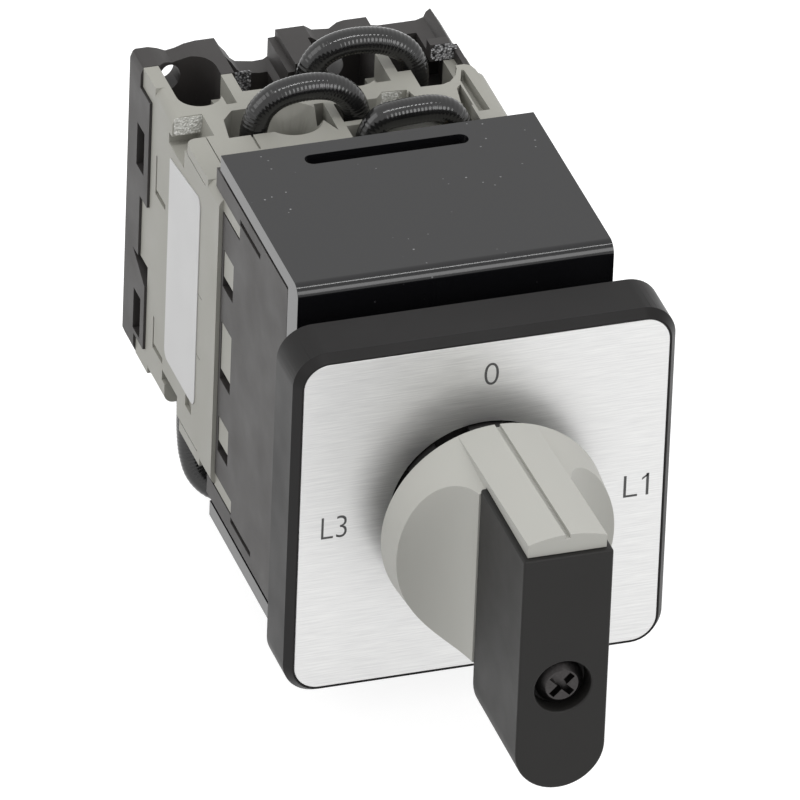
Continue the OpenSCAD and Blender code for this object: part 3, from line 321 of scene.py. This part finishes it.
MATERIALS = {
    # Satin ABS from a lightly eroded tool: even, with a soft sheen
    "black_satin_plastic": moulded_plastic(
        "satin_black_abs", "#1a1919", "#201f1f", 0.42, 0.12, 0.006, 9, 0.15
    ),
    # Glass-filled polyamide: dull, greyer where the light skims it
    "black_matt_plastic": moulded_plastic("matt_black_polyamide", "#2a2827", "#343130", 0.55, 0.14, 0.012, 6),
    # Light grey PBT of the stages: chalky, faintly warm
    "grey_plastic": moulded_plastic("warm_grey_pbt", "#97968f", "#a09f97", 0.5, 0.16, 0.01, 7),
    # ABS of the dial: a lighter grey with a finer tool grain
    "dial_plastic": moulded_plastic("dial_grey_abs", "#adada7", "#b3b2ac", 0.46, 0.1, 0.006, 12),
    # Natural polyamide of the plungers: ivory, waxy
    "plunger_plastic": moulded_plastic("natural_polyamide", "#d8d2c0", "#cfc8b4", 0.4, 0.15, 0.005),
    # Acetal of the cams: ochre, slippery
    "cam_plastic": moulded_plastic("ochre_acetal", "#c7b06c", "#bba360", 0.35, 0.15, 0.004),
    # Coated label paper: white, faintly uneven
    "label_paper": moulded_plastic("coated_label_paper", "#c6c6c6", "#cecece", 0.45, 0.3, 0.004, 4),
    "brushed_plate": brushed_plate(),
    "black_gloss_plastic": gloss_cover(),
    # Zinc plate: yellowish grey with a soft shine
    "zinc_steel": metal("zinc_plated_steel", "#c9c3b4", "#a39d8e", 0.32, 0.2),
    # Drawn wire: clean grey with a fine shine along it
    "spring_steel": metal("drawn_spring_steel", "#c4c4c0", "#9a9a96", 0.28, 0.1),
    # Bright drawn bar: cool grey, lines along the shaft
    "shaft_steel": metal("bright_drawn_steel", "#bcbcba", "#8f8f8c", 0.3, 0.15, (1, 0.1, 1)),
    # Stamped brass of the clamps: yellow, satin
    "brass": metal("stamped_brass", "#c9a451", "#a27f3a", 0.3, 0.25),
    # Copper alloy strip: reddish, satin
    "contact_copper": metal("copper_alloy_strip", "#bd7f52", "#97603a", 0.32, 0.2),
    # Stretched vinyl sleeve: shiny, with fine wrinkles across it
    "wire_insulation": moulded_plastic("black_vinyl_sleeve", "#141414", "#1c1c1c", 0.16, 0.3, 0.004, 3, 0.6),
}
# Blackened screw: dark grey with a metal shine
BLACK_OXIDE = metal("black_oxide_steel", "#4a4848", "#353333", 0.36, 0.3)
# The grip: a deep black with a fine, dull tool grain
GRIP_PLASTIC = moulded_plastic("grained_black_abs", "#1c1b1a", "#222120", 0.5, 0.16, 0.012, 8, 0.24)
OWN_MATERIAL = {"grip": GRIP_PLASTIC, "grip_screw": BLACK_OXIDE}
# Screen-printed marks: dull dark grey
PRINT_INK = moulded_plastic("screen_print_ink", "#3e3e3e", "#4a4a4a", 0.5, 0.2, 0.003)
# Crusts of the stages and of the rear piece: pale and frosted, or black; the bright grains are a painted
# highlight
LIGHT_PAD = grit_pad("light_grit_pad", "#b9b9b3", "#e4e4e0", 0.32)
DARK_PAD = grit_pad("dark_grit_pad", "#2b2b2c", "#c8c8ca", 0.3)


def node_material(node):
    return OWN_MATERIAL.get(node) or MATERIALS[NODE_SLOT[node]]


# Meshes

def finish_mesh(obj, angle_deg):
    """Smooth faces with creases kept where they meet at more than the angle."""
    mesh = obj.data
    bm = bmesh.new()
    bm.from_mesh(mesh)
    limit = math.radians(angle_deg)
    for face in bm.faces:
        face.smooth = True
    for edge in bm.edges:
        edge.smooth = len(edge.link_faces) == 2 and edge.calc_face_angle(0) < limit
    bm.to_mesh(mesh)
    bm.free()


def bake(obj):
    """Turns an object with its modifiers into a plain mesh."""
    graph = bpy.context.evaluated_depsgraph_get()
    mesh = bpy.data.meshes.new_from_object(obj.evaluated_get(graph))
    obj.modifiers.clear()
    obj.data = mesh


def show(name, mesh, material=None):
    obj = bpy.data.objects.new(name, mesh)
    bpy.context.collection.objects.link(obj)
    if material is not None:
        obj.data.materials.clear()
        obj.data.materials.append(material)
    return obj


def place_piece(obj, body):
    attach(obj, body)


# Corners within WELD of each other become one, and so do faces within FLAT_DEG. Edges sharper than
# ROUNDED_DEG are rounded, and those that stay sharper than CREASE_DEG show as creases
WELD = 0.002 * MM
FLAT_DEG = 1.0
ROUNDED_DEG = 32
CREASE_DEG = 40
LARGE_FACE_WEIGHT = 100


def rounded_copy(node, width_mm, segments):
    """A copy of a CAD node with its edges rounded as a moulding tool leaves them."""
    mesh = nodes[node].data.copy()
    bm = bmesh.new()
    bm.from_mesh(mesh)
    bmesh.ops.remove_doubles(bm, verts=bm.verts, dist=WELD)
    bmesh.ops.dissolve_limit(
        bm, angle_limit=math.radians(FLAT_DEG), verts=bm.verts, edges=bm.edges, delimit=set()
    )
    bm.to_mesh(mesh)
    bm.free()
    obj = show(f"{node}_moulded", mesh, node_material(node))
    bevel = obj.modifiers.new("edges", "BEVEL")
    bevel.width = width_mm * MM
    bevel.segments = segments
    bevel.limit_method = "ANGLE"
    bevel.angle_limit = math.radians(ROUNDED_DEG)
    bevel.use_clamp_overlap = True
    bevel.miter_outer = "MITER_ARC" if segments > 2 else "MITER_SHARP"
    bake(obj)
    finish_mesh(obj, CREASE_DEG)
    # Large faces keep a level shade up to their rounded edges
    even = obj.modifiers.new("even_shade", "WEIGHTED_NORMAL")
    even.weight = LARGE_FACE_WEIGHT
    even.keep_sharp = True
    bake(obj)
    place_piece(obj, NODE_BODY[node])
    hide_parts(node)


def dress_nodes():
    """Every CAD node that stays gets its own material."""
    for node, obj in nodes.items():
        obj.data.materials.clear()
        obj.data.materials.append(node_material(node))


# Width of the rounding in mm and its number of steps
ROUNDED_NODES = {
    "bezel": (0.35, 3), "legend_plate": (0.06, 1), "ring_nut": (0.15, 2), "front_cover": (0.2, 2),
    "front_housing": (0.12, 2), "stage_1_housing": (0.12, 2), "stage_2_housing": (0.1, 1),
    "rear_housing": (0.12, 1), "dial": (0.35, 3), "grip": (0.4, 3), "side_label": (0.02, 1),
}


# Jumper wires

# The same routes as the source's, in metres
ROUTES = {
    "jumper_a": [
        (-0.00100, 0.05630, 0.01370), (-0.00100, 0.05630, 0.01600), (-0.00100, 0.05630, 0.01850),
        (-0.00060, 0.05630, 0.02030), (0.00050, 0.05620, 0.02170), (0.00230, 0.05610, 0.02260),
        (0.00450, 0.05600, 0.02290), (0.00700, 0.05580, 0.02270), (0.00900, 0.05560, 0.02200),
        (0.01060, 0.05540, 0.02070), (0.01140, 0.05520, 0.01880), (0.01150, 0.05520, 0.01650),
        (0.01150, 0.05520, 0.01370),
    ],
    "jumper_b": [
        (-0.01070, 0.04670, 0.01370), (-0.01070, 0.04670, 0.01650), (-0.01060, 0.04670, 0.01900),
        (-0.00990, 0.04670, 0.02120), (-0.00840, 0.04670, 0.02270), (-0.00650, 0.04670, 0.02340),
        (-0.00440, 0.04670, 0.02360), (-0.00230, 0.04670, 0.02340), (-0.00040, 0.04670, 0.02260),
        (0.00100, 0.04670, 0.02110), (0.00170, 0.04670, 0.01920), (0.00190, 0.04670, 0.01700),
        (0.00190, 0.04670, 0.01370),
    ],
    "jumper_c": [
        (0.00160, 0.04230, 0.01370), (0.00160, 0.04230, 0.01550), (0.00170, 0.04230, 0.01740),
        (0.00210, 0.04230, 0.01930), (0.00330, 0.04230, 0.02080), (0.00520, 0.04230, 0.02120),
        (0.00720, 0.04230, 0.02130), (0.00930, 0.04230, 0.02125), (0.01120, 0.04230, 0.02060),
        (0.01240, 0.04230, 0.01900), (0.01280, 0.04230, 0.01680), (0.01280, 0.04230, 0.01370),
    ],
    "jumper_d": [
        (-0.01470, 0.05490, -0.01370), (-0.01470, 0.05490, -0.01700), (-0.01470, 0.05490, -0.02000),
        (-0.01460, 0.05470, -0.02300), (-0.01460, 0.05450, -0.02600), (-0.01450, 0.05370, -0.02880),
        (-0.01390, 0.05260, -0.03100), (-0.01230, 0.05130, -0.03230), (-0.00980, 0.05020, -0.03220),
        (-0.00700, 0.04930, -0.03080), (-0.00420, 0.04840, -0.02820), (-0.00140, 0.04750, -0.02500),
        (0.00080, 0.04690, -0.02170), (0.00180, 0.04670, -0.01850), (0.00190, 0.04670, -0.01600),
        (0.00190, 0.04670, -0.01370),
    ],
}
SLEEVE_D = 3.2 * MM
RIB_PITCH = 0.44 * MM
RIB_DEPTH_SHARE = 0.032
RINGS_A_RIB = 4
# The shallowest rib, as a share of the deepest
SHALLOW_SHARE = 0.45
SLEEVE_SIDES = 32
ROUTE_STEPS = 16
SLEEVE_CREASE_DEG = 50


def sleeve_nodes():
    """Geometry Nodes: a smooth tube along a route whose rings swell and shrink like wrinkled vinyl."""
    tree = bpy.data.node_groups.new("wrinkled_sleeve", "GeometryNodeTree")
    sockets = tree.interface
    sockets.new_socket("Geometry", in_out="INPUT", socket_type="NodeSocketGeometry")
    for name, kind in (
        ("Diameter", "NodeSocketFloat"), ("Pitch", "NodeSocketFloat"), ("Wrinkle", "NodeSocketFloat"),
        ("Seed", "NodeSocketInt"), ("Material", "NodeSocketMaterial"),
    ):
        sockets.new_socket(name, in_out="INPUT", socket_type=kind)
    sockets.new_socket("Geometry", in_out="OUTPUT", socket_type="NodeSocketGeometry")
    given = add(tree, "NodeGroupInput").outputs
    curve = add(tree, "GeometryNodeMeshToCurve", links={0: given["Geometry"]})
    smooth = add(
        tree, "GeometryNodeCurveSplineType", {"spline_type": "CATMULL_ROM"}, links={0: curve.outputs[0]}
    )
    fine = add(
        tree, "GeometryNodeSetSplineResolution", inputs={"Resolution": ROUTE_STEPS},
        links={0: smooth.outputs[0]},
    )
    step = add(tree, "ShaderNodeMath", {"operation": "DIVIDE"}, {1: RINGS_A_RIB}, {0: given["Pitch"]})
    rings = add(
        tree, "GeometryNodeResampleCurve", {"mode": "LENGTH"},
        links={0: fine.outputs[0], "Length": step.outputs[0]},
    )
    # Ribs: a cosine over the rings' numbers, 0 on a crest and 1 in a valley, each as deep as chance has it
    number = add(tree, "GeometryNodeInputIndex")
    turn = add(
        tree, "ShaderNodeMath", {"operation": "MULTIPLY"},
        {1: 2 * math.pi / RINGS_A_RIB}, {0: number.outputs[0]},
    )
    wave = add(tree, "ShaderNodeMath", {"operation": "COSINE"}, links={0: turn.outputs[0]})
    valley = add(
        tree, "ShaderNodeMapRange", inputs={"From Min": 1.0, "From Max": -1.0},
        links={"Value": wave.outputs[0]},
    )
    deep = add(tree, "FunctionNodeRandomValue", {"data_type": "FLOAT"})
    deep.inputs[2].default_value = SHALLOW_SHARE
    deep.inputs[3].default_value = 1.0
    tree.links.new(given["Seed"], deep.inputs["Seed"])
    uneven = add(
        tree, "ShaderNodeMath", {"operation": "MULTIPLY"}, links={0: valley.outputs[0], 1: deep.outputs[1]}
    )
    cut = add(
        tree, "ShaderNodeMath", {"operation": "MULTIPLY"}, links={0: uneven.outputs[0], 1: given["Wrinkle"]}
    )
    swell = add(tree, "ShaderNodeMath", {"operation": "SUBTRACT"}, {0: 1.0}, {1: cut.outputs[0]})
    half = add(tree, "ShaderNodeMath", {"operation": "MULTIPLY"}, {1: 0.5}, {0: given["Diameter"]})
    profile = add(
        tree, "GeometryNodeCurvePrimitiveCircle", inputs={"Resolution": SLEEVE_SIDES},
        links={"Radius": half.outputs[0]},
    )
    tube = add(
        tree, "GeometryNodeCurveToMesh", inputs={"Fill Caps": True},
        links={0: rings.outputs[0], "Profile Curve": profile.outputs[0], "Scale": swell.outputs[0]},
    )
    painted = add(tree, "GeometryNodeSetMaterial", links={0: tube.outputs[0], "Material": given["Material"]})
    add(tree, "NodeGroupOutput", links={0: painted.outputs[0]})
    return tree


def make_jumpers():
    """The four jumpers, each drawn along its route in place of the CAD wire."""
    tree = sleeve_nodes()
    socket = {item.name: item.identifier for item in tree.interface.items_tree if item.in_out == "INPUT"}
    for seed, (node, route) in enumerate(ROUTES.items()):
        mesh = bpy.data.meshes.new(node)
        mesh.from_pydata(route, [(i, i + 1) for i in range(len(route) - 1)], [])
        obj = show(f"{node}_sleeve", mesh)
        sleeve = obj.modifiers.new("sleeve", "NODES")
        sleeve.node_group = tree
        sleeve[socket["Diameter"]] = SLEEVE_D
        sleeve[socket["Pitch"]] = RIB_PITCH
        sleeve[socket["Wrinkle"]] = RIB_DEPTH_SHARE
        sleeve[socket["Seed"]] = seed
        sleeve[socket["Material"]] = MATERIALS["wire_insulation"]
        bake(obj)
        finish_mesh(obj, SLEEVE_CREASE_DEG)
        place_piece(obj, BODY)
        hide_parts(node)


# Grit pads: coarse crusts on walls that face the front

CRUST_CELL = 0.16 * MM
CRUST_HEIGHT = 0.16 * MM
# The lowest grain, as a share of the highest
LOW_GRAIN_SHARE = 0.15
# Node, material, slot, x range, z range, a y in front of the wall, corner radius (all in mm)
PADS = {
    "left_pad": ("stage_2_housing", LIGHT_PAD, "grey_plastic", (-18.9, -15.2), (17.0, 19.2), 49.5, 0.3),
    "middle_pad": ("stage_2_housing", LIGHT_PAD, "grey_plastic", (4.8, 8.9), (17.2, 19.2), 49.0, 0.3),
    "wing_pad": ("rear_housing", DARK_PAD, "black_matt_plastic", (14.4, 17.5), (17.2, 19.3), 55.0, 0.9),
    "valley_pad": ("rear_housing", DARK_PAD, "black_matt_plastic", (-10.2, -5.6), (13.3, 16.0), 60.5, 0.3),
}


def wall_behind(node, x, y, z):
    """The y of the first wall of a node behind a point."""
    mesh = nodes[node].data
    walls = BVHTree.FromPolygons([v.co for v in mesh.vertices], [f.vertices for f in mesh.polygons])
    return walls.ray_cast(Vector((x, y, z)), Vector((0, 1, 0)))[0].y


def make_pad(name, node, material, slot, xs, zs, start, corner):
    """A crust of raised grains, sunk a little into the wall that carries it."""
    x0, x1, z0, z1 = (v * MM for v in (*xs, *zs))
    middle = (x0 + x1) / 2, (z0 + z1) / 2
    wall = wall_behind(node, middle[0], start * MM, middle[1])
    draw = random.Random(name)
    columns = round((x1 - x0) / CRUST_CELL)
    rows = round((z1 - z0) / CRUST_CELL)
    radius = corner * MM
    bm = bmesh.new()
    points = {}

    def point(i, k):
        if (i, k) not in points:
            x = x0 + (x1 - x0) * i / columns
            z = z0 + (z1 - z0) * k / rows
            points[i, k] = bm.verts.new((x, wall - CRUST_HEIGHT * draw.uniform(LOW_GRAIN_SHARE, 1), z))
        return points[i, k]

    for i in range(columns):
        for k in range(rows):
            dx = abs(x0 + (x1 - x0) * (i + 0.5) / columns - middle[0]) - (x1 - x0) / 2 + radius
            dz = abs(z0 + (z1 - z0) * (k + 0.5) / rows - middle[1]) - (z1 - z0) / 2 + radius
            if math.hypot(max(dx, 0), max(dz, 0)) <= radius:
                bm.faces.new((point(i, k), point(i + 1, k), point(i + 1, k + 1), point(i, k + 1)))
    border = [e for e in bm.edges if len(e.link_faces) == 1]
    skirt = bmesh.ops.extrude_edge_only(bm, edges=border)["geom"]
    for v in skirt:
        if isinstance(v, bmesh.types.BMVert):
            v.co.y = wall + CRUST_HEIGHT / 2
    bmesh.ops.holes_fill(bm, edges=[e for e in skirt if isinstance(e, bmesh.types.BMEdge)], sides=0)
    bmesh.ops.recalc_face_normals(bm, faces=bm.faces)
    mesh = bpy.data.meshes.new(name)
    bm.to_mesh(mesh)
    bm.free()
    place_piece(show(name, mesh, material), BODY)


# Printed marks of the four places: centre x and z, height and width in mm
MARKS = {
    "mark_0": ("0", 0.5, 17.3, 2.9, 1.7), "mark_l1": ("L1", 18.3, -0.5, 2.9, 3.0),
    "mark_l2": ("L2", 0.0, -17.4, 2.9, 3.0), "mark_l3": ("L3", -17.4, -0.2, 2.9, 3.0),
}
INK_HEIGHT = 0.02 * MM
# How much the strokes are thinned, in the font's own units
STROKE_OFFSET = -0.012
FONT_STEPS = 8


def print_mark(name, text, x, z, height, width):
    """A raised film of ink in the shape of the text, fitted to the mark's size on the plate."""
    curve = bpy.data.curves.new(name, "FONT")
    curve.body = text
    curve.resolution_u = FONT_STEPS
    # Half a unit to each side, so that INK_HEIGHT is the whole film's
    curve.extrude = 1 / 2
    curve.offset = STROKE_OFFSET
    obj = bpy.data.objects.new(name, curve)
    bpy.context.collection.objects.link(obj)
    mesh = bpy.data.meshes.new_from_object(obj.evaluated_get(bpy.context.evaluated_depsgraph_get()))
    bpy.data.objects.remove(obj)
    xs = [v.co.x for v in mesh.vertices]
    ys = [v.co.y for v in mesh.vertices]
    left, wide = min(xs), max(xs) - min(xs)
    foot, tall = min(ys), max(ys) - min(ys)
    for v in mesh.vertices:
        share_x = (v.co.x - left) / wide - 0.5
        share_y = (v.co.y - foot) / tall - 0.5
        v.co = (
            (x + share_x * width) * MM,
            PLATE_FRONT - INK_HEIGHT * v.co.z,
            (z + share_y * height) * MM,
        )
    place_piece(show(name, mesh, PRINT_INK), BODY)


# The flag of the 1: right top corner in mm, how far it goes left and down, and its stroke
FLAG_CORNER = (19.72, 0.95)
FLAG_REACH = (0.75, 0.55)
FLAG_STROKE = 0.27


def print_flag():
    """The slanted stroke at the top of the 1, which the font leaves out."""
    (right, top), (left, down) = FLAG_CORNER, FLAG_REACH
    outline = (
        (right, top), (right - left, top - down),
        (right - left, top - down - FLAG_STROKE), (right, top - FLAG_STROKE),
    )
    bm = bmesh.new()
    front = [bm.verts.new((x * MM, PLATE_FRONT - INK_HEIGHT / 2, z * MM)) for x, z in outline]
    face = bm.faces.new(front)
    back = bmesh.ops.extrude_face_region(bm, geom=[face])["geom"]
    for v in back:
        if isinstance(v, bmesh.types.BMVert):
            v.co.y = PLATE_FRONT + INK_HEIGHT / 2
    bmesh.ops.recalc_face_normals(bm, faces=bm.faces)
    mesh = bpy.data.meshes.new("mark_l1_flag")
    bm.to_mesh(mesh)
    bm.free()
    place_piece(show("mark_l1_flag", mesh, PRINT_INK), BODY)


# Setting

# A light tent: pale from all sides, seen as plain white
WORLD_LIGHT = 0.72
FLOOR_SIZE = 6
FLOOR_GAP = 0.5 * MM
# The floor returns little light to the object, as the photograph's dark low sides show
FLOOR_TONE = 0.45
FLOOR_GLOW = 0.8


def seen_rays(tree):
    """1 where the background itself is seen, straight or in a mirror-like surface."""
    path = add(tree, "ShaderNodeLightPath")
    return add(
        tree, "ShaderNodeMath", {"operation": "MAXIMUM"},
        links={0: path.outputs["Is Camera Ray"], 1: path.outputs["Is Glossy Ray"]},
    ).outputs[0]


def make_setting():
    scene = bpy.context.scene
    scene.view_settings.view_transform = "Standard"
    world = bpy.data.worlds.new("light_tent")
    scene.world = world
    world.use_nodes = True
    tree = world.node_tree
    tree.nodes.clear()
    output = add(tree, "ShaderNodeOutputWorld")
    lit = add(tree, "ShaderNodeBackground", inputs={"Color": (1, 1, 1, 1), "Strength": WORLD_LIGHT})
    seen = add(tree, "ShaderNodeBackground", inputs={"Color": (1, 1, 1, 1), "Strength": 1.0})
    mix = add(tree, "ShaderNodeMixShader", links={0: seen_rays(tree)})
    tree.links.new(lit.outputs[0], mix.inputs[1])
    tree.links.new(seen.outputs[0], mix.inputs[2])
    tree.links.new(mix.outputs[0], output.inputs[0])

    floor_z = cad_box[0][2] - FLOOR_GAP
    bpy.ops.mesh.primitive_plane_add(size=FLOOR_SIZE, location=(0, 0, 0))
    floor = bpy.context.object
    floor.name = "studio_floor"
    floor.data.transform(Matrix.Translation((0, 0, floor_z)))
    material, tree, shader = new_material("pale_studio_floor")
    shader.inputs["Base Color"].default_value = (FLOOR_TONE, FLOOR_TONE, FLOOR_TONE, 1)
    shader.inputs["Roughness"].default_value = 0.9
    shader.inputs["Emission Color"].default_value = (1, 1, 1, 1)
    glow = add(tree, "ShaderNodeMath", {"operation": "MULTIPLY"}, {1: FLOOR_GLOW}, {0: seen_rays(tree)})
    tree.links.new(glow.outputs[0], shader.inputs["Emission Strength"])
    floor.data.materials.append(material)

    # Place, target, width, depth in metres and power in watts. The top light is a narrow strip: it
    # draws the bright lines along round edges and wires
    for name, place, target, width, depth, power in (
        ("left_softbox", (-1.1, 0.1, 0.8), (0, 0.02, 0), 0.9, 0.9, 4.0),
        ("top_strip", (0, -0.3, 1.3), (0, 0, 0), 0.9, 0.09, 3.8),
        ("front_softbox", (0.7, -1.3, 0.8), (0, 0, 0), 0.8, 0.8, 7.0),
    ):
        data = bpy.data.lights.new(name, "AREA")
        data.shape = "RECTANGLE"
        data.size = width
        data.size_y = depth
        data.energy = power
        lamp = bpy.data.objects.new(name, data)
        bpy.context.collection.objects.link(lamp)
        lamp.location = place
        lamp.rotation_euler = (Vector(place) - Vector(target)).to_track_quat("Z", "Y").to_euler()


make_camera()
make_setting()
dress_nodes()
for node_name, (width, segments) in ROUNDED_NODES.items():
    rounded_copy(node_name, width, segments)
make_jumpers()
for pad_name, settings in PADS.items():
    make_pad(pad_name, *settings)
for mark_name, settings in MARKS.items():
    print_mark(mark_name, *settings)
print_flag()
